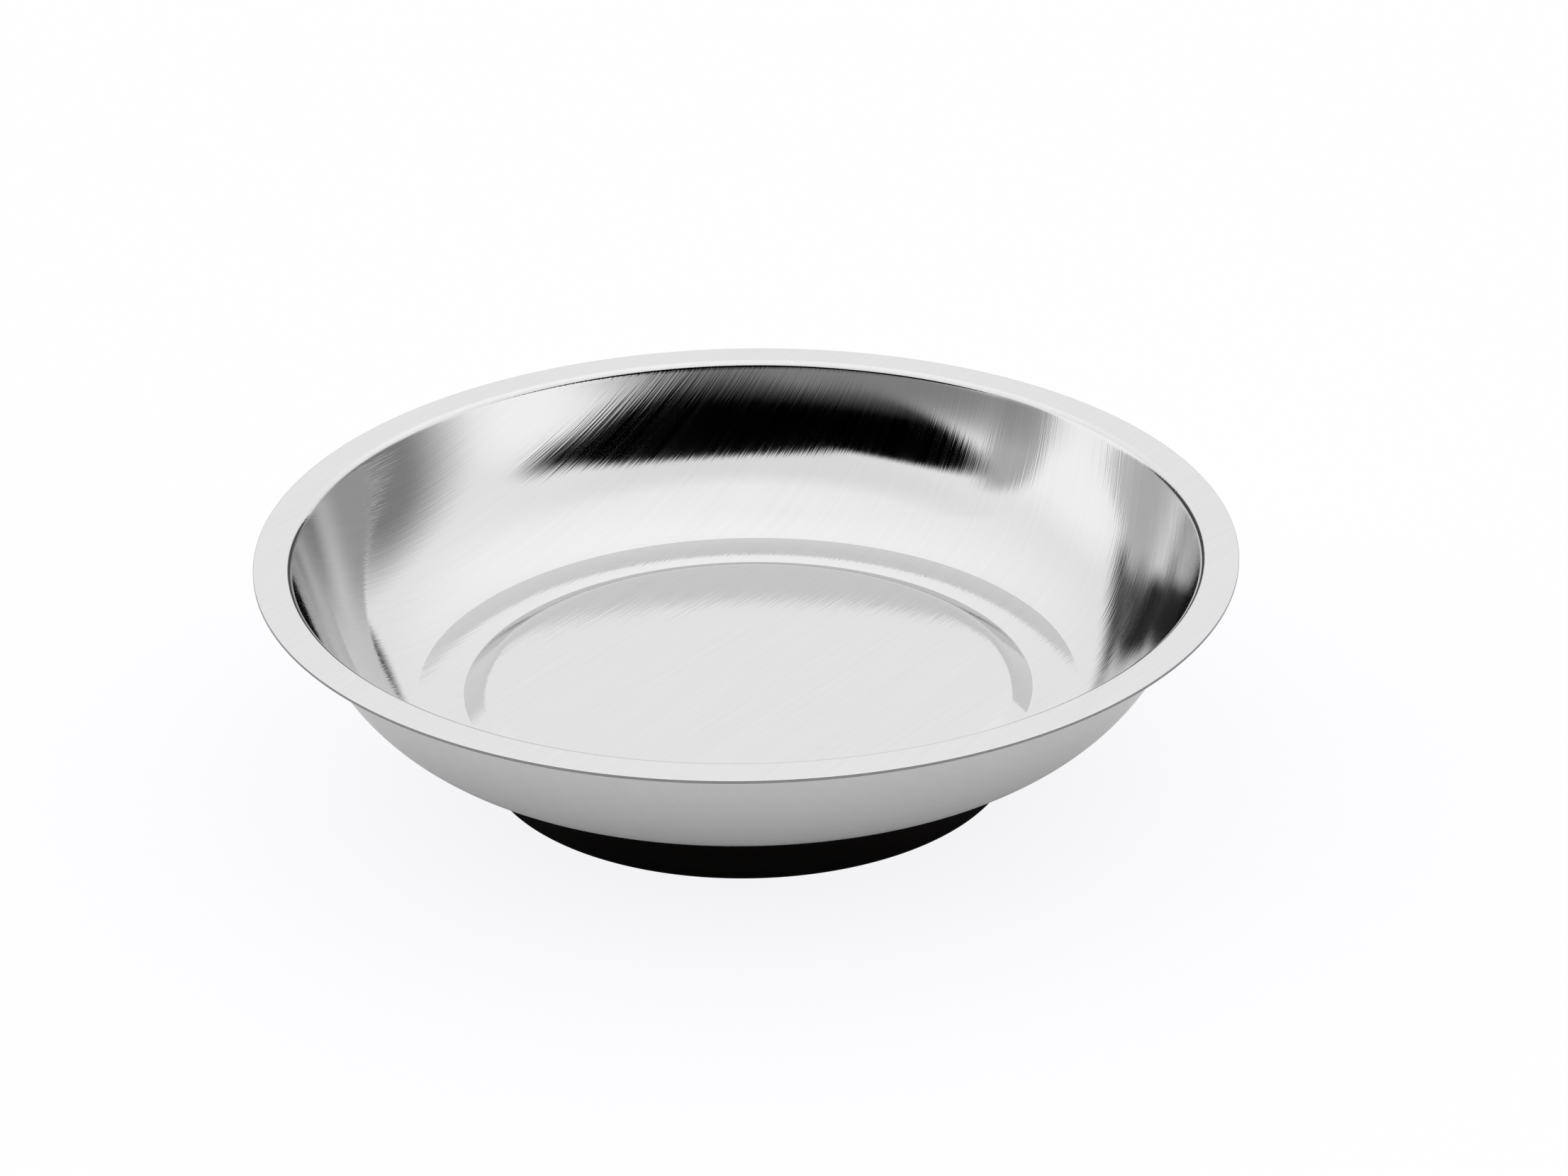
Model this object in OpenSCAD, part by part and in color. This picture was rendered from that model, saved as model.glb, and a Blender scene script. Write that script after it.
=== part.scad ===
// Magnetic parts dish: a bowl pressed from stainless sheet, held down on a ring magnet
// in a rubber cover.  It stands on z = 0, and every piece shares the Z axis.

/* [Bowl] */
// Diameter over the rim
rim_d = 150; // [140:1:220]
// Height of the top of the rim above the table
bowl_h = 35; // [26:0.5:60]
// Thickness of the sheet
sheet_t = 0.5; // [0.4:0.05:1.2]
// Width of the flat part of the rim
rim_w = 4.8; // [3:0.1:10]
// Radius of the bend between the rim and the wall, on its top side
shoulder_r = 1.2; // [0.8:0.1:2.5]
// Steepness of the wall where it meets the shoulder, in degrees
wall_top_angle = 74; // [55:1:80]
// Steepness of the wall where it leaves the floor, in degrees
wall_foot_angle = 11; // [5:1:25]
// Reach of the flat-lying curve at the foot of the wall
wall_foot_reach = 9.3; // [3:0.1:12]
// Reach of the steep curve at the top of the wall
wall_top_reach = 10.5; // [4:0.1:16]

/* [Floor] */
// Drop from the raised centre to the groove around it
step_drop = 0.95; // [0.4:0.05:2]
// Width of the step down into the groove
step_w = 3.2; // [1.5:0.1:5]
// Width of the sloping ring from the groove out to the wall
ring_w = 7.3; // [3:0.1:10]
// Height gained across the sloping ring
ring_rise = 0.4; // [0:0.05:2]
// Gap round the cover's spigot, which sits inside the step
seat_play = 0.4; // [0.2:0.05:1.5]
// Gap between the groove's underside and the ledge of the cover
ledge_gap = 0.35; // [0.1:0.05:1]

/* [Magnet] */
// Outer diameter of the ring magnet
magnet_d = 77; // [60:1:95]
// Bore of the ring magnet
magnet_bore = 32; // [26:1:45]
// Thickness of the ring magnet
magnet_t = 8; // [6.5:0.1:15]
// Thickness of the steel pole plate
plate_t = 2.2; // [1.5:0.1:4]
// Thickness of the foam pad between the plate and the bowl
pad_t = 1; // [0.8:0.1:2]

/* [Cover] */
// Thickness of the cover's spigot, round the magnet and the plate
spigot_wall = 1.3; // [1:0.1:3]
// Width of the ledge outside the spigot
ledge_w = 0.9; // [0.5:0.1:3]
// Thickness of the rubber between the magnet's bore and the recess
hub_wall = 1.4; // [1:0.1:3]
// Thickness of the rubber under the magnet
cover_floor = 1.2; // [0.8:0.1:3]
// Thickness of the rubber that the washer clamps
hub_t = 1.6; // [1:0.1:2]
// Width of the lip that hooks over the pole plate
lip_w = 2; // [1:0.1:4]
// Radius of the cover's outer bottom edge
cover_edge_r = 0.9; // [0.3:0.1:1.5]
// Gap between the rubber and the magnet
cover_play = 0.1; // [0.05:0.05:0.3]

/* [Fasteners] */
// Thread diameter of the weld stud
thread_d = 5; // [4:1:6]
// Diameter of the stud's welded flange
flange_d = 6.5; // [6:0.1:9]
// Thickness of the flat washer
washer_t = 1.2; // [0.8:0.1:1.6]
// Thickness of the spring washer
spring_t = 1.2; // [0.8:0.1:1.6]
// Width of the split in the spring washer
spring_gap = 0.8; // [0.4:0.1:1.5]
// Gap between the stud and the holes that it passes through
hole_play = 0.4; // [0.2:0.1:1]
// Gap between the stud's thread and the nut
thread_play = 0.05; // [0.02:0.01:0.1]

/* [Hidden] */
round_fn = 180;
wall_steps = 30;
bend_steps = 6;

// Heights, from the table up
magnet_z = cover_floor;
plate_z = magnet_z + magnet_t;
pad_z = plate_z + plate_t;
base_h = pad_z + pad_t;
floor_z = base_h + sheet_t;
groove_z = floor_z - step_drop;
crease_z = groove_z + ring_rise;
ledge_z = groove_z - sheet_t - ledge_gap;

// Radii, from the magnet outwards
magnet_r = magnet_d / 2;
cover_in_r = magnet_r + cover_play;
spigot_r = cover_in_r + spigot_wall;
cover_r = spigot_r + ledge_w;
floor_r = spigot_r + seat_play;
groove_r = floor_r + step_w;
crease_r = groove_r + ring_w;
rim_r = rim_d / 2;
shoulder_c = [rim_r - rim_w, bowl_h - shoulder_r];

// The middle of the cover, where the fasteners sit
hub_r = magnet_bore / 2 - cover_play;
recess_r = hub_r - hub_wall;
recess_z = plate_z - hub_t;
stud_r = thread_d / 2;
hole_r = stud_r + hole_play;
pad_hole_r = flange_d / 2 + hole_play;
lip_r = spigot_r - lip_w;
pad_r = lip_r - cover_play;

// Standard proportions of the fasteners
washer_d = 3 * thread_d;
spring_d = 1.84 * thread_d;
nut_af = 1.6 * thread_d;
nut_h = 0.54 * thread_d;
nut_chamfer = 30;
washer_z = recess_z - washer_t;
spring_z = washer_z - spring_t;
nut_z = spring_z - nut_h;
stud_proud = 0.5;
stud_chamfer = 0.4;
stud_end_z = nut_z - stud_proud;

// A direction at an angle above the horizontal
function along(angle) = [cos(angle), sin(angle)];

// The underside of a path of points, one thickness below it and square to it
function right_of(a, b) = [b.y - a.y, a.x - b.x] / norm(b - a);
function shifted(a, b, c, t) =
    let (n = right_of(a, b), m = n + right_of(b, c)) b + m * t / (m * n);
function underside(path, t) =
    let (last = len(path) - 1)
    [for (i = [last:-1:0])
        i == 0 || i == last ? path[i] - [0, t] : shifted(path[i - 1], path[i], path[i + 1], t)];

// The wall is one smooth curve that leaves the floor gently and meets the shoulder steeply
function curve(a, b, c, d, s) =
    pow(1 - s, 3) * a + 3 * pow(1 - s, 2) * s * b + 3 * (1 - s) * s * s * c + pow(s, 3) * d;
wall_foot = [crease_r, crease_z];
wall_top = shoulder_c + shoulder_r * along(90 + wall_top_angle);
wall = [for (i = [0:wall_steps - 1])
    curve(wall_foot, wall_foot + wall_foot_reach * along(wall_foot_angle),
          wall_top - wall_top_reach * along(wall_top_angle), wall_top, i / wall_steps)];
shoulder = [for (i = [0:bend_steps])
    shoulder_c + shoulder_r * along(90 + wall_top_angle * (1 - i / bend_steps))];
sheet = concat([[0, floor_z], [floor_r, floor_z], [groove_r, groove_z]],
               wall, shoulder, [[rim_r, bowl_h]]);

module lathe(outline) {
    rotate_extrude($fn = round_fn) polygon(outline);
}

module ring(outer_r, inner_r, height, z) {
    translate([0, 0, z]) difference() {
        cylinder(r = outer_r, h = height, $fn = round_fn);
        translate([0, 0, -height]) cylinder(r = inner_r, h = 3 * height, $fn = round_fn);
    }
}

// Pressed dish: raised centre, groove, sloping ring, curved wall and flat rim
module bowl() {
    color("lightgray") lathe(concat(sheet, underside(sheet, sheet_t)));
}

// Threaded stud, welded by its flange to the underside of the bowl
module weld_stud() {
    flange_t = pad_t - cover_play;
    color("goldenrod") lathe([
        [0, base_h], [flange_d / 2, base_h], [flange_d / 2, base_h - flange_t],
        [stud_r, base_h - flange_t], [stud_r, stud_end_z + stud_chamfer],
        [stud_r - stud_chamfer, stud_end_z], [0, stud_end_z]]);
}

// Foam pad that stops the bowl rattling on the plate, inside the cover's lip
module foam_pad() {
    color("dimgray") ring(pad_r, pad_hole_r, pad_t, pad_z);
}

// Steel plate that spreads the field of the magnet under the bowl
module pole_plate() {
    color("silver") ring(magnet_r, hole_r, plate_t, plate_z);
}

// Ferrite ring, magnetised through its thickness
module ring_magnet() {
    color("darkslategray") ring(magnet_r, magnet_bore / 2, magnet_t, magnet_z);
}

// Rubber boot: lip, outer wall, floor, and a hub that fills the bore of the magnet
module rubber_cover() {
    edge_c = [cover_r - cover_edge_r, cover_edge_r];
    edge = [for (i = [0:bend_steps]) edge_c + cover_edge_r * along(-90 * i / bend_steps)];
    color("black") lathe(concat([
        [hole_r, recess_z], [hole_r, plate_z], [hub_r, plate_z], [hub_r, magnet_z],
        [cover_in_r, magnet_z], [cover_in_r, pad_z], [lip_r, pad_z], [lip_r, base_h],
        [spigot_r, base_h], [spigot_r, ledge_z], [cover_r, ledge_z]],
        edge, [[recess_r, 0], [recess_r, recess_z]]));
}

// Wide flat washer that presses the hub up against the pole plate
module clamp_washer() {
    color("gainsboro") ring(washer_d / 2, hole_r, washer_t, washer_z);
}

// Split spring washer, drawn tightened flat
module spring_washer() {
    color("gray") difference() {
        ring(spring_d / 2, stud_r + thread_play, spring_t, spring_z);
        translate([0, -spring_gap / 2, spring_z - spring_t])
            cube([spring_d, spring_gap, 3 * spring_t]);
    }
}

// Thin hexagon nut, chamfered on both ends
module hex_nut() {
    corner_r = nut_af / 2 / cos(30);
    chamfer_h = (corner_r - nut_af / 2) * tan(nut_chamfer);
    color("gainsboro") difference() {
        intersection() {
            translate([0, 0, nut_z]) cylinder(r = corner_r, h = nut_h, $fn = 6);
            lathe([
                [0, nut_z], [nut_af / 2, nut_z], [corner_r, nut_z + chamfer_h],
                [corner_r, nut_z + nut_h - chamfer_h], [nut_af / 2, nut_z + nut_h],
                [0, nut_z + nut_h]]);
        }
        translate([0, 0, nut_z - nut_h])
            cylinder(r = stud_r + thread_play, h = 3 * nut_h, $fn = round_fn);
    }
}

bowl();
weld_stud();
foam_pad();
pole_plate();
ring_magnet();
rubber_cover();
clamp_washer();
spring_washer();
hex_nut();
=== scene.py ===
# Looks of a magnetic parts dish: a bowl pressed from brushed stainless sheet, held down on a
# ring magnet in a rubber cover.  Everything stands on z = 0 round the Z axis, in metres.
from math import acos, asin, atan2, ceil, cos, pi, radians, sin, tan

import bpy
from mathutils import Matrix, Vector


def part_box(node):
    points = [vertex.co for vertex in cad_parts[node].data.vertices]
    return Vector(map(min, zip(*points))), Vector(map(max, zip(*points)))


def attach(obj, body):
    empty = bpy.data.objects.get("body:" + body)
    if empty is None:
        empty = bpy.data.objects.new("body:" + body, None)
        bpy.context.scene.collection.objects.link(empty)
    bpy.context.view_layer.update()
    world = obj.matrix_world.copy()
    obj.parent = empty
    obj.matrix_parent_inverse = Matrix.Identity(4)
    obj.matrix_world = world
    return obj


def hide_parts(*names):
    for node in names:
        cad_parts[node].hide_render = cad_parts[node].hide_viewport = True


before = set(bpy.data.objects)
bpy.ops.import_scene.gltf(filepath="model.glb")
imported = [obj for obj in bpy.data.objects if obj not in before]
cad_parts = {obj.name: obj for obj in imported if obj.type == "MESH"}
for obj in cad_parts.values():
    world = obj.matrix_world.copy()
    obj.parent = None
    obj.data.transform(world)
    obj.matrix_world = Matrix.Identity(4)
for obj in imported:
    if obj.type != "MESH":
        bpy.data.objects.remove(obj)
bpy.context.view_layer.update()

MM = 0.001

# ---------------------------------------------------------------- sizes from the frame
rim_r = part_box("bowl")[1].x
bowl_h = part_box("bowl")[1].z
base_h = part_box("foam_pad")[1].z
magnet_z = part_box("ring_magnet")[0].z
magnet_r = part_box("ring_magnet")[1].x
plate_low, plate_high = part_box("pole_plate")
cover_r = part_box("rubber_cover")[1].x
washer_low, washer_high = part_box("clamp_washer")
spring_low, spring_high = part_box("spring_washer")
nut_low, nut_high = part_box("hex_nut")
stud_low, stud_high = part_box("weld_stud")
pad_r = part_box("foam_pad")[1].x

# ---------------------------------------------------------------- sizes of the bowl
sheet_t = 0.5 * MM
rim_w = 4.8 * MM
shoulder_r = 1.2 * MM
wall_top_angle = radians(70)
wall_foot_angle = radians(13)
wall_foot_reach = 11.0 * MM
wall_top_reach = 9.0 * MM
step_drop = 1.3 * MM
step_w = 3.4 * MM
ring_w = 7.1 * MM
ring_rise = 0.82 * MM
ring_steep = radians(11)    # slope of the ring where it leaves the groove
ring_flat = radians(2.5)    # and where it meets the wall
ring_reach = 2.9 * MM       # reach of both ends of its curve
seat_play = 0.4 * MM
step_round = 4.0 * MM       # press radius at the top of the step
groove_round = 0.5 * MM     # press radius in the groove
floor_dip = 0.2 * MM        # the middle springs back a little below its edge
crease_round = 1.0 * MM     # press radius where the wall starts
burr_round = 0.07 * MM      # edge of the sheet after deburring
rim_droop = 0.15 * MM       # the rim springs back a little lower at its edge
flange_rows = (0.04, 0.3, 0.7, 0.96, 1.0)   # rows of the flat rim, closer at its two edges
floor_steps = 16
ring_steps = 16
wall_steps = 56
bend_steps = 12
burr_steps = 4
bowl_segments = 400

# ---------------------------------------------------------------- sizes of the cover
bore_r = 16 * MM            # bore of the magnet
cover_play = 0.1 * MM
spigot_wall = 1.3 * MM
lip_w = 2.0 * MM
hub_wall = 1.4 * MM
cover_edge_r = 0.9 * MM
cover_round = 0.25 * MM     # moulded edge radius
ledge_z = base_h - 1.3 * MM
spigot_r = magnet_r + cover_play + spigot_wall
hub_r = bore_r - cover_play
recess_r = hub_r - hub_wall
hole_r = 2.9 * MM
cover_segments = 240
mould_edge = 0.1 * MM       # edges inside the mould, next to the magnet

# ---------------------------------------------------------------- sizes of the other pieces
magnet_edge = 0.6 * MM      # pressed chamfer of the magnet, worn round
stud_r = 2.5 * MM
stud_flange_t = 0.9 * MM
stud_chamfer = 0.4 * MM
stud_segments = 72
thread_pitch = 0.8 * MM
thread_depth = 0.46 * MM
thread_step = 0.1 * MM      # height of one row of its mesh
pad_hole_r = 3.65 * MM
pad_edge = 0.2 * MM
die_roll = 0.35 * MM        # edge drawn down by the punch, and the sharper one under it
punch_edge = 0.08 * MM
nut_bore_r = 2.55 * MM
nut_flat_r = 4 * MM         # half the width across flats
nut_chamfer = radians(30)
nut_sink = 0.3 * MM         # countersink of its thread
nut_segments = 96
nut_bevel_steps = 6
split_w = 0.8 * MM          # split of the spring washer
spring_edge = 0.2 * MM
split_steps = 90

# ---------------------------------------------------------------- sizes that follow from these
floor_z = base_h + sheet_t
floor_r = spigot_r + seat_play
groove_r = floor_r + step_w
groove_z = floor_z - step_drop
crease_r = groove_r + ring_w
crease_z = groove_z + ring_rise

# ---------------------------------------------------------------- brushing of the sheet
brush_angle = radians(53)   # plan direction of the brushing, from the X axis


# ---------------------------------------------------------------- shading of the meshes
arc_step = radians(9)       # longest turn between two points of a fillet
sharp_turn = radians(35)    # an edge that turns more than this is shaded sharp
nut_sharp_turn = radians(20)


# ================================================================ outlines and meshes
def along(angle):
    return Vector((cos(angle), sin(angle)))


def rounded(corners):
    """A path of (radius, height, fillet) corners with each fillet drawn as an arc."""
    points = []
    for i, (x, y, fillet) in enumerate(corners):
        here = Vector((x, y))
        if not fillet or i in (0, len(corners) - 1):
            points.append(here)
            continue
        back = (Vector(corners[i - 1][:2]) - here).normalized()
        ahead = (Vector(corners[i + 1][:2]) - here).normalized()
        turn = pi - acos(max(-1.0, min(1.0, back.dot(ahead))))
        reach = fillet * tan(turn / 2)
        centre = here + (back + ahead).normalized() * (fillet / cos(turn / 2))
        first = here + back * reach - centre
        side = 1 if first.x * ahead.y - first.y * ahead.x > 0 else -1
        steps = max(3, ceil(turn / arc_step))
        start = atan2(first.y, first.x)
        points += [centre + fillet * along(start + side * turn * k / steps)
                   for k in range(steps + 1)]
    return points


def shifted(path, distance):
    """The path moved square to itself, to its right."""
    moved = []
    for i, here in enumerate(path):
        before = path[max(i - 1, 0)]
        after = path[min(i + 1, len(path) - 1)]
        ahead = (after - before).normalized()
        moved.append(here + distance * Vector((ahead.y, -ahead.x)))
    return moved


def bezier(a, b, c, d, s):
    return (1 - s) ** 3 * a + 3 * (1 - s) ** 2 * s * b + 3 * (1 - s) * s * s * c + s ** 3 * d


def new_mesh(name, points, faces, material, replaces=()):
    """A piece made from points and faces, smooth shaded, that rides on the dish."""
    mesh = bpy.data.meshes.new(name)
    mesh.from_pydata(points, [], faces)
    mesh.polygons.foreach_set("use_smooth", [True] * len(faces))
    mesh.set_sharp_from_angle(angle=sharp_turn)
    mesh.materials.append(material)
    mesh.update()
    piece = bpy.data.objects.new(name, mesh)
    bpy.context.scene.collection.objects.link(piece)
    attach(piece, "root")
    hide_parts(*replaces)
    return piece


def lathe(name, outline, segments, material, replaces=()):
    """The outline of (radius, height) points turned round Z.  It runs outwards along the top
    and back along the underside, and starts and ends on the axis or meets itself."""
    on_axis = outline[0].x < 1e-9
    points, rings = [], []
    for p in outline:
        count = 1 if p.x < 1e-9 else segments
        rings.append(range(len(points), len(points) + count))
        points += [(p.x * cos(2 * pi * k / segments), p.x * sin(2 * pi * k / segments), p.y)
                   for k in range(count)]
    if not on_axis:
        rings.append(rings[0])
    faces = []
    for a, b in zip(rings, rings[1:]):
        for k in range(segments):
            n = (k + 1) % segments
            if len(a) == 1:
                faces.append((a[0], b[k], b[n]))
            elif len(b) == 1:
                faces.append((a[k], b[0], a[n]))
            else:
                faces.append((a[k], b[k], b[n], a[n]))
    return new_mesh(name, points, faces, material, replaces)


# ================================================================ nodes and colours
def linear(code):
    """A colour written as sRGB hex, in the linear values that shaders use."""
    parts = [int(code[i:i + 2], 16) / 255 for i in (1, 3, 5)]
    return [p / 12.92 if p <= 0.04045 else ((p + 0.055) / 1.055) ** 2.4 for p in parts] + [1.0]


def add(tree, kind, inputs=(), **settings):
    """Adds a node, with its settings, and with each input set or linked to an output."""
    made = tree.nodes.new("ShaderNode" + kind)
    for name, value in settings.items():
        setattr(made, name, value)
    for socket, value in dict(inputs).items():
        if isinstance(value, bpy.types.NodeSocket):
            tree.links.new(value, made.inputs[socket])
        else:
            made.inputs[socket].default_value = value
    return made


def new_material(name):
    """An empty material, its node tree and its output."""
    made = bpy.data.materials.new(name)
    made.use_nodes = True
    made.node_tree.nodes.clear()
    return made, made.node_tree, add(made.node_tree, "OutputMaterial")


# ================================================================ studio
camera_place = Vector((0, -0.9892, 0.51644))
camera_aim = Vector((0.00578, 0.01157, 0.02282))
camera_roll = radians(-0.807)
camera_lens = 165.82        # mm on a 36 mm sensor

table_glow, table_white = 0.94, 0.12
table_glow_in_steel, table_white_in_steel = 0.05, 0.80
table_half = 12.0           # half the width of the table, in metres
table_z = -0.01 * MM        # just under the cover


def camera():
    data = bpy.data.cameras.new("camera")
    data.lens = camera_lens
    data.sensor_width = 36
    data.clip_start, data.clip_end = 0.05, 40
    made = bpy.data.objects.new("camera", data)
    bpy.context.scene.collection.objects.link(made)
    upright = (camera_aim - camera_place).to_track_quat("-Z", "Y").to_matrix().to_4x4()
    rolled = upright @ Matrix.Rotation(camera_roll, 4, "Z")
    made.matrix_world = Matrix.Translation(camera_place) @ rolled
    bpy.context.scene.camera = made


# Light tent: patches of another brightness on its white cloth, as
# (brightness, azimuth, elevation, half width, half height, softness, tilt), in degrees
tent_patches = (
    (1.32, 65, 62, 70, 20, 0.9, 0.0),       # lamp above and behind
    (1.04, -100, 47, 75, 12, 0.6, 0.0),     # edge of the front cloth
    (1.30, 172, 12, 24, 13, 0.7, 0.0),      # low lamp on the left
    (1.30, -180, 14, 14, 12, 0.7, 0.0),     # its other half
    (1.30, -33, 13, 16, 10, 0.7, 0.0),      # low lamp on the right
    (0.29, 15, 2, 23, 18, 0.6, 0.0),        # stand on the right
)
# Low down, in what the steel sees at its first reflection
room_patches = (
    (0.10, 68, 0, 22, 20, 0.12, 0.0),       # gap under the back cloth, on the right
    (0.08, 122, 0, 30, 22.5, 0.12, 0.0),    # and on the left
    (0.58, -166, 15, 8, 17, 0.3, 0.0),      # side of the front opening
    (0.28, -109, 5, 55, 15, 0.3, 0.0),      # dim table in front
    (0.0, -82, 29.5, 44, 14, 0.12, 0.0),    # dark room through the front opening
    (0.0, -124, 26.5, 36, 10.5, 0.15, 0.0), # and past its left jamb
    (0.0, -50, 28, 24, 6, 0.4, 0.0),        # and past its right one
    (0.31, -109, 5, 55, 12, 0.4, 0.0),      # table seen under the dark room
)
# And at later ones.  These were set apart only for the look of the side walls: a real
# tent shows every reflection the same cloth, and so does this one if later_depth is 1000
later_patches = (
    (0.63, -44, 22, 34, 15, 0.5, 0.0),      # cloth beside the opening, on the right
    (0.88, -155, 22, 25, 11, 0.7, 0.0),     # and on the left
    (0.03, 160, 27, 34, 6, 0.3, 0.25),      # gap under the back cloth
    (0.12, -172, 34, 15, 6, 0.4, 0.0),      # and its end
)
later_depth = 2.5           # ray depth that parts first reflections from later ones
cloth_low, cloth_high = 1.08, 1.26      # brightness of the white cloth at 10 and 75 degrees
cloth_seen = 1.1                        # and where it is looked at straight


def patched(tree, azimuth, elevation, light, patches):
    """The light, with each patch laid over it in turn."""
    for level, az, el, wide, high, soft, tilt in patches:
        u = add(tree, "MapRange", {"Value": azimuth, 1: radians(az), 2: radians(az + wide)},
                clamp=False).outputs[0]
        v = add(tree, "MapRange", {"Value": elevation, 1: radians(el), 2: radians(el + high)},
                clamp=False).outputs[0]
        slope = add(tree, "Math", {0: u, 1: -tilt * wide / high, 2: v},
                    operation="MULTIPLY_ADD").outputs[0]
        out = add(tree, "CombineXYZ", {0: u, 1: slope}).outputs[0]
        far = add(tree, "VectorMath", {0: out}, operation="LENGTH").outputs["Value"]
        mask = add(tree, "MapRange", {"Value": far, 1: 1 - soft, 2: 1 + soft, 3: 1.0, 4: 0.0},
                   interpolation_type="SMOOTHSTEP").outputs[0]
        light = add(tree, "Mix", {"Factor": mask, 2: light, 3: level}).outputs[0]
    return light


def tent():
    """The soft surroundings: a white light tent, open towards the camera, with a dark gap
    under its back cloth.  Later reflections see other patches than the first one does."""
    world = bpy.data.worlds.new("light_tent")
    bpy.context.scene.world = world
    world.use_nodes = True
    tree = world.node_tree
    tree.nodes.clear()
    toward = add(tree, "TexCoord").outputs["Generated"]
    part = add(tree, "SeparateXYZ", {0: toward}).outputs
    azimuth = add(tree, "Math", {0: part["Y"], 1: part["X"]}, operation="ARCTAN2").outputs[0]
    elevation = add(tree, "Math", {0: part["Z"]}, operation="ARCSINE").outputs[0]
    light = add(tree, "MapRange", {"Value": elevation, 1: radians(10), 2: radians(75),
                                   3: cloth_low, 4: cloth_high}).outputs[0]
    light = patched(tree, azimuth, elevation, light, tent_patches)
    room = patched(tree, azimuth, elevation, light, room_patches)
    again = patched(tree, azimuth, elevation, light, later_patches)
    path = add(tree, "LightPath").outputs
    later = add(tree, "Math", {0: path["Ray Depth"], 1: later_depth}, operation="GREATER_THAN")
    light = add(tree, "Mix", {"Factor": later.outputs[0], 2: room, 3: again}).outputs[0]
    seen = add(tree, "Mix", {"Factor": path["Is Camera Ray"], 2: light, 3: cloth_seen}).outputs[0]
    cloth = add(tree, "Background", {"Color": linear("#FFFFFF"), "Strength": seen})
    add(tree, "OutputWorld", {"Surface": cloth.outputs[0]})


def lit_table():
    """Table top of opal acrylic, lit from below: nearly white where it is looked at, and
    dimmer in the steel."""
    made, tree, out = new_material("lit_opal_acrylic")
    seen = add(tree, "LightPath").outputs["Is Camera Ray"]
    glow = add(tree, "Mix", {"Factor": seen, 2: table_glow_in_steel, 3: table_glow}).outputs[0]
    body = add(tree, "Mix", {"Factor": seen, 2: table_white_in_steel, 3: table_white}).outputs[0]
    tint = linear("#F7F7FA")
    lamp = add(tree, "Emission", {"Color": tint, "Strength": glow})
    shade = add(tree, "BsdfDiffuse", {"Color": body})
    both = add(tree, "AddShader", {0: lamp.outputs[0], 1: shade.outputs[0]})
    tree.links.new(both.outputs[0], out.inputs["Surface"])
    return made


def table():
    corners = [(-1, -1), (1, -1), (1, 1), (-1, 1)]
    mesh = bpy.data.meshes.new("table_top")
    mesh.from_pydata([(x * table_half, y * table_half, table_z) for x, y in corners], [],
                     [(0, 1, 2, 3)])
    mesh.materials.append(lit_table())
    made = bpy.data.objects.new("table_top", mesh)
    bpy.context.scene.collection.objects.link(made)


# ================================================================ materials
def brushed_stainless():
    """Stainless sheet, ground with a belt in one direction before it was pressed: a fairly
    sharp mirror along the brushing, drawn out in streaks across it."""
    made, tree, out = new_material("brushed_stainless_steel")
    blank = add(tree, "UVMap", uv_map="blank").outputs[0]
    # width and length of the streaks in mm, and their slope
    streaks = ((0.25, 10, 0.020), (0.5, 20, 0.010), (1.6, 40, 0.003))
    height = None
    for width, length, slope in streaks:
        place = add(tree, "Mapping", {"Vector": blank, "Scale": (1 / width, 1 / length, 1)})
        line = add(tree, "TexNoise", {"Vector": place.outputs[0], "Scale": 1.0, "Detail": 1.0},
                   noise_dimensions="2D").outputs["Fac"]
        terms = {0: line, 1: width * slope}
        if height is not None:
            terms[2] = height
        height = add(tree, "Math", terms, operation="MULTIPLY_ADD").outputs[0]
    bump = add(tree, "Bump", {"Strength": 1.0, "Distance": MM, "Height": height})
    place = add(tree, "Mapping", {"Vector": blank, "Scale": (1 / 0.9, 1 / 30, 1)})
    tone = add(tree, "TexNoise", {"Vector": place.outputs[0], "Scale": 1.0, "Detail": 4.0},
               noise_dimensions="2D").outputs["Fac"]
    rough = add(tree, "MapRange", {"Value": tone, 1: 0.3, 2: 0.7, 3: 0.05, 4: 0.09}).outputs[0]
    colour = add(tree, "Mix", {"Factor": tone, 6: linear("#D1D1D1"), 7: linear("#D7D7D7")},
                 data_type="RGBA").outputs[2]
    across = add(tree, "Tangent", direction_type="UV_MAP", uv_map="blank").outputs[0]
    steel = add(tree, "BsdfPrincipled", {
        "Base Color": colour, "Metallic": 1.0, "Roughness": rough, "Anisotropic": 0.7,
        "Tangent": across, "Normal": bump.outputs[0]})
    tree.links.new(steel.outputs[0], out.inputs["Surface"])
    return made


def mottled(name, colours, dullness, drift, grain, relief, more=()):
    """A material whose colour and roughness drift between two values over the size `drift`,
    with a surface grain of the given size and relief."""
    made, tree, out = new_material(name)
    spot = add(tree, "TexCoord").outputs["Object"]
    cloud = add(tree, "TexNoise", {"Vector": spot, "Scale": 1 / drift, "Detail": 4.0}).outputs["Fac"]
    rough = add(tree, "MapRange", {"Value": cloud, 1: 0.3, 2: 0.7,
                                   3: dullness[0], 4: dullness[1]}).outputs[0]
    colour = add(tree, "Mix", {"Factor": cloud, 6: linear(colours[0]), 7: linear(colours[1])},
                 data_type="RGBA").outputs[2]
    fine = add(tree, "TexNoise", {"Vector": spot, "Scale": 1 / grain, "Detail": 3.0}).outputs["Fac"]
    bump = add(tree, "Bump", {"Strength": 1.0, "Distance": relief, "Height": fine}).outputs[0]
    shader = add(tree, "BsdfPrincipled", {"Base Color": colour, "Roughness": rough,
                                          "Normal": bump, **dict(more)})
    tree.links.new(shader.outputs[0], out.inputs["Surface"])
    return made


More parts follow.
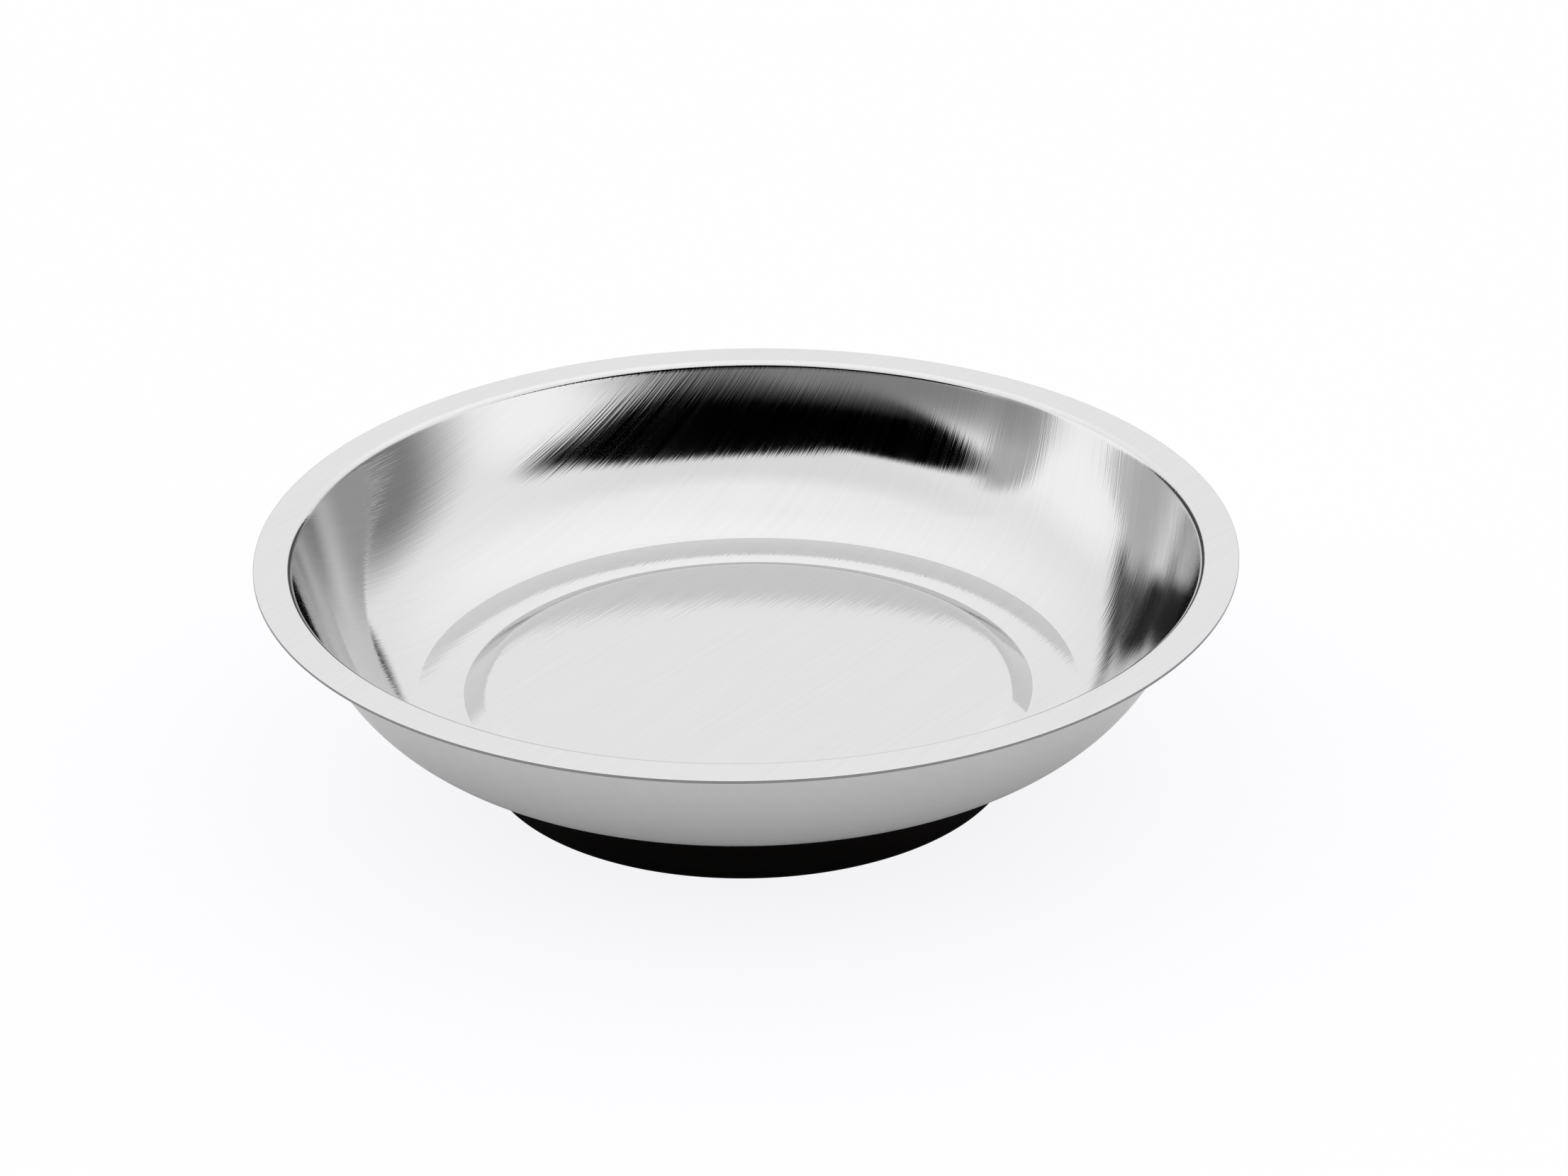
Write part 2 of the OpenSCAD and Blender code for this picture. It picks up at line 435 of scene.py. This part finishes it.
def moulded_rubber():
    """Nitrile rubber filled with carbon black, moulded against a fine-blasted steel tool:
    almost black, with a dull sheen and a faint grain."""
    return mottled("black_nitrile_rubber", ("#060403", "#0A0706"), (0.52, 0.68), 9 * MM, 0.35 * MM,
                   0.01 * MM, {"IOR": 1.5, "Specular IOR Level": 0.05})


def closed_cell_foam():
    """Neoprene foam, split from a block and die-cut: dark and flat, with its opened cells as
    small pits."""
    return mottled("black_neoprene_foam", ("#161617", "#202021"), (0.85, 0.95), 4 * MM, 0.3 * MM,
                   0.12 * MM, {"IOR": 1.4, "Specular IOR Level": 0.3})


def sintered_ferrite():
    """Strontium ferrite, pressed, fired and ground on its faces: a dark grey ceramic, a little
    shiny where it is ground, with fine pits."""
    return mottled("strontium_ferrite", ("#2B2B2E", "#3A3A3E"), (0.38, 0.55), 6 * MM, 0.25 * MM,
                   0.03 * MM, {"IOR": 2.0})


def zinc_plate():
    """Mild steel, barrel plated with zinc and clear passivated: a cool, slightly cloudy metal
    with the fine marks of tumbling."""
    return mottled("zinc_plated_steel", ("#AEB4BC", "#C6C7C2"), (0.24, 0.40), 3 * MM, 0.3 * MM,
                   0.006 * MM, {"Metallic": 1.0})


def sheared_edge():
    """The cut edge of the sheet: torn by the shear and never brushed, so grey and dull."""
    return mottled("sheared_stainless_edge", ("#7E7E80", "#98989A"), (0.30, 0.42), 1.5 * MM,
                   0.2 * MM, 0.01 * MM, {"Metallic": 1.0})


def copper_flash():
    """Cold-headed steel with a flash of copper for welding: pinkish brown, duller where it has
    tarnished."""
    return mottled("copper_flashed_steel", ("#B06C48", "#C98F6C"), (0.26, 0.44), 1.5 * MM,
                   0.2 * MM, 0.005 * MM, {"Metallic": 1.0})


def phosphated_spring():
    """Hardened spring steel, phosphated and oiled: a dark grey metal with a soft shine."""
    return mottled("phosphated_spring_steel", ("#4C4D50", "#626366"), (0.40, 0.55), 1.2 * MM,
                   0.15 * MM, 0.012 * MM, {"Metallic": 1.0})


# ================================================================ bowl
def bowl():
    shoulder = Vector((rim_r - rim_w, bowl_h - shoulder_r))
    foot = Vector((crease_r, crease_z))
    top = shoulder + shoulder_r * along(pi / 2 + wall_top_angle)
    foot_pull = foot + wall_foot_reach * along(wall_foot_angle)
    top_pull = top - wall_top_reach * along(wall_top_angle)
    wall = [bezier(foot, foot_pull, top_pull, top, k / wall_steps) for k in range(1, wall_steps)]
    bend = [shoulder + shoulder_r * along(pi / 2 + wall_top_angle * (1 - k / bend_steps))
            for k in range(bend_steps + 1)]
    groove = Vector((groove_r, groove_z))
    ring = [bezier(groove, groove + ring_reach * along(ring_steep),
                   foot - ring_reach * along(ring_flat), foot, k / ring_steps)
            for k in range(1, ring_steps)]
    middle = [(floor_r * k / floor_steps, floor_z + floor_dip * (k / floor_steps) ** 2, 0)
              for k in range(floor_steps)]
    rim = Vector((rim_r - burr_round, bowl_h - rim_droop))
    flange = [bend[-1].lerp(rim, share) for share in flange_rows]
    face = rounded(middle + [(floor_r, floor_z + floor_dip, step_round),
                             (groove_r, groove_z, groove_round)]
                   + [(p.x, p.y, 0) for p in ring]
                   + [(crease_r, crease_z, crease_round)]
                   + [(p.x, p.y, 0) for p in wall + bend + flange])
    under = shifted(face, sheet_t)
    under[0].x = 0
    edge_c = rim - Vector((0, burr_round))
    low_c = rim - Vector((0, sheet_t - burr_round))
    quarter = [pi / 2 * k / burr_steps for k in range(burr_steps + 1)]
    edge = [edge_c + burr_round * along(pi / 2 - turn) for turn in quarter[1:]]
    edge += [low_c + burr_round * along(-turn) for turn in quarter[:-1]]
    # distance of each point from the middle of the flat blank
    reach = [0.0]
    for a, b in zip(face, face[1:]):
        reach.append(reach[-1] + (b - a).length)
    outline = face + edge + under[::-1]
    spread = reach + [reach[-1]] * len(edge) + reach[::-1]
    made = lathe("pressed_bowl", outline, bowl_segments, steel, ["bowl"])
    blank_map(made, outline, spread)
    made.data.materials.append(sheared_edge())
    # the cut itself, with the nearest row of the burr above it and of the one below
    first = (len(face) + burr_steps - 2) * bowl_segments
    for cut in made.data.polygons[first:first + 3 * bowl_segments]:
        cut.material_index = 1


def blank_map(piece, outline, spread):
    """Maps a pressed piece back to its flat blank, in mm, with the brushing along V."""
    mesh = piece.data
    far = []
    for p, s in zip(outline, spread):
        far += [s] if p.x < 1e-9 else [s] * bowl_segments
    layer = mesh.uv_layers.new(name="blank")
    flat = []
    for loop in mesh.loops:
        place = mesh.vertices[loop.vertex_index].co
        turn = atan2(place.y, place.x) - brush_angle
        distance = far[loop.vertex_index] / MM
        flat += [-distance * sin(turn), distance * cos(turn)]
    layer.uv.foreach_set("vector", flat)


# ================================================================ cover
def cover():
    inner = magnet_r + cover_play
    lip_r = spigot_r - lip_w
    outline = rounded([
        (hole_r, washer_high.z, 0), (hole_r, plate_low.z, mould_edge),
        (hub_r, plate_low.z, mould_edge), (hub_r, magnet_z, mould_edge),
        (inner, magnet_z, mould_edge), (inner, plate_high.z, mould_edge),
        (lip_r, plate_high.z, mould_edge), (lip_r, base_h, cover_round),
        (spigot_r, base_h, cover_round), (spigot_r, ledge_z, mould_edge),
        (cover_r, ledge_z, cover_round), (cover_r, 0, cover_edge_r), (recess_r, 0, cover_round),
        (recess_r, washer_high.z, cover_round), (hole_r, washer_high.z, 0)])
    lathe("moulded_cover", outline[:-1], cover_segments, moulded_rubber(), ["rubber_cover"])


# ================================================================ magnet, plate, pad, fasteners
def collar(name, inner, outer, low, high, low_edge, high_edge, material, node):
    """A flat ring with rounded edges."""
    middle = (inner, (low + high) / 2, 0)
    outline = rounded([middle, (inner, high, high_edge), (outer, high, high_edge),
                       (outer, low, low_edge), (inner, low, low_edge), middle])
    return lathe(name, outline[:-1], cover_segments, material, [node])


def magnet():
    collar("ferrite_ring", bore_r, magnet_r, magnet_z, plate_low.z, magnet_edge, magnet_edge,
           sintered_ferrite(), "ring_magnet")


def pole_plate():
    collar("punched_pole_plate", hole_r, magnet_r, plate_low.z, plate_high.z, punch_edge, die_roll,
           zinc, "pole_plate")


def pad():
    made = collar("die_cut_foam", pad_hole_r, pad_r, plate_high.z, base_h, pad_edge, pad_edge,
                  closed_cell_foam(), "foam_pad")


def flat_washer():
    collar("flat_washer", hole_r, washer_high.x, washer_low.z, washer_high.z, die_roll, punch_edge,
           zinc, "clamp_washer")


def stud():
    """The weld stud: a flange under the bowl, and a rolled thread that ends in a chamfer."""
    shank_top = base_h - stud_flange_t
    chamfer = stud_low.z + stud_chamfer
    rows = ceil((shank_top - chamfer) / thread_step)
    shank = [Vector((stud_r, shank_top + (chamfer - shank_top) * k / rows))
             for k in range(rows + 1)]
    flange = rounded([(0, base_h, 0), (stud_high.x, base_h, punch_edge),
                      (stud_high.x, shank_top, punch_edge), (stud_r, shank_top, 0)])
    end = [Vector((stud_r - stud_chamfer, stud_low.z)), Vector((0, stud_low.z))]
    made = lathe("threaded_weld_stud", flange[:-1] + shank + end, stud_segments, copper_flash(),
                 ["weld_stud"])
    for point in made.data.vertices:
        place = point.co
        if abs(place.xy.length - stud_r) > 1e-6 or not chamfer <= place.z < shank_top:
            continue
        turn = (place.z / thread_pitch - atan2(place.y, place.x) / (2 * pi)) % 1
        run_out = min(1, (shank_top - place.z) / thread_pitch)
        cut = thread_depth * run_out * (1 - abs(2 * turn - 1))
        place.xy *= 1 - cut / stud_r


def nut():
    """A thin hexagon nut: turned chamfers and countersinks, cut down to six flats."""
    corner_r = nut_flat_r / cos(radians(30))
    bevel = [(corner_r - nut_flat_r) * k / nut_bevel_steps for k in range(nut_bevel_steps + 1)]
    rise = tan(nut_chamfer)
    low, high = nut_low.z, nut_high.z
    outline = [(nut_bore_r, (low + high) / 2), (nut_bore_r, high - nut_sink),
               (nut_bore_r + nut_sink, high)]
    outline += [(nut_flat_r + out, high - out * rise) for out in bevel]
    outline += [(nut_flat_r + out, low + out * rise) for out in bevel[::-1]]
    outline += [(nut_bore_r + nut_sink, low), (nut_bore_r, low + nut_sink)]
    made = lathe("hexagon_nut", [Vector(p) for p in outline], nut_segments, zinc, ["hex_nut"])
    for point in made.data.vertices:
        place = point.co
        turn = atan2(place.y, place.x) % (pi / 3) - pi / 6
        limit = nut_flat_r / cos(turn)
        if place.xy.length > limit:
            place.xy *= limit / place.xy.length
    made.data.set_sharp_from_angle(angle=nut_sharp_turn)


def split_washer():
    """A spring washer pressed flat: a bar bent round the stud, with a gap between its ends."""
    inner, outer = nut_bore_r, spring_high.x
    low, high = spring_low.z, spring_high.z
    middle = (inner, (low + high) / 2, 0)
    bar = rounded([middle, (inner, high, spring_edge), (outer, high, spring_edge),
                   (outer, low, spring_edge), (inner, low, spring_edge), middle])[:-1]
    points = []
    for k in range(split_steps + 1):
        for p in bar:
            start = asin(split_w / 2 / p.x)
            turn = start + (2 * pi - 2 * start) * k / split_steps
            points.append((p.x * cos(turn), p.x * sin(turn), p.y))
    n = len(bar)
    faces = [(k * n + i, (k + 1) * n + i, (k + 1) * n + (i + 1) % n, k * n + (i + 1) % n)
             for k in range(split_steps) for i in range(n)]
    faces += [tuple(range(n)), tuple(range((split_steps + 1) * n - 1, split_steps * n - 1, -1))]
    new_mesh("split_spring_washer", points, faces, phosphated_spring(), ["spring_washer"])


# ================================================================ the scene
bpy.context.scene.view_settings.view_transform = "Standard"
camera()
tent()
table()
steel = brushed_stainless()
zinc = zinc_plate()
bowl()
cover()
magnet()
pole_plate()
pad()
flat_washer()
split_washer()
nut()
stud()
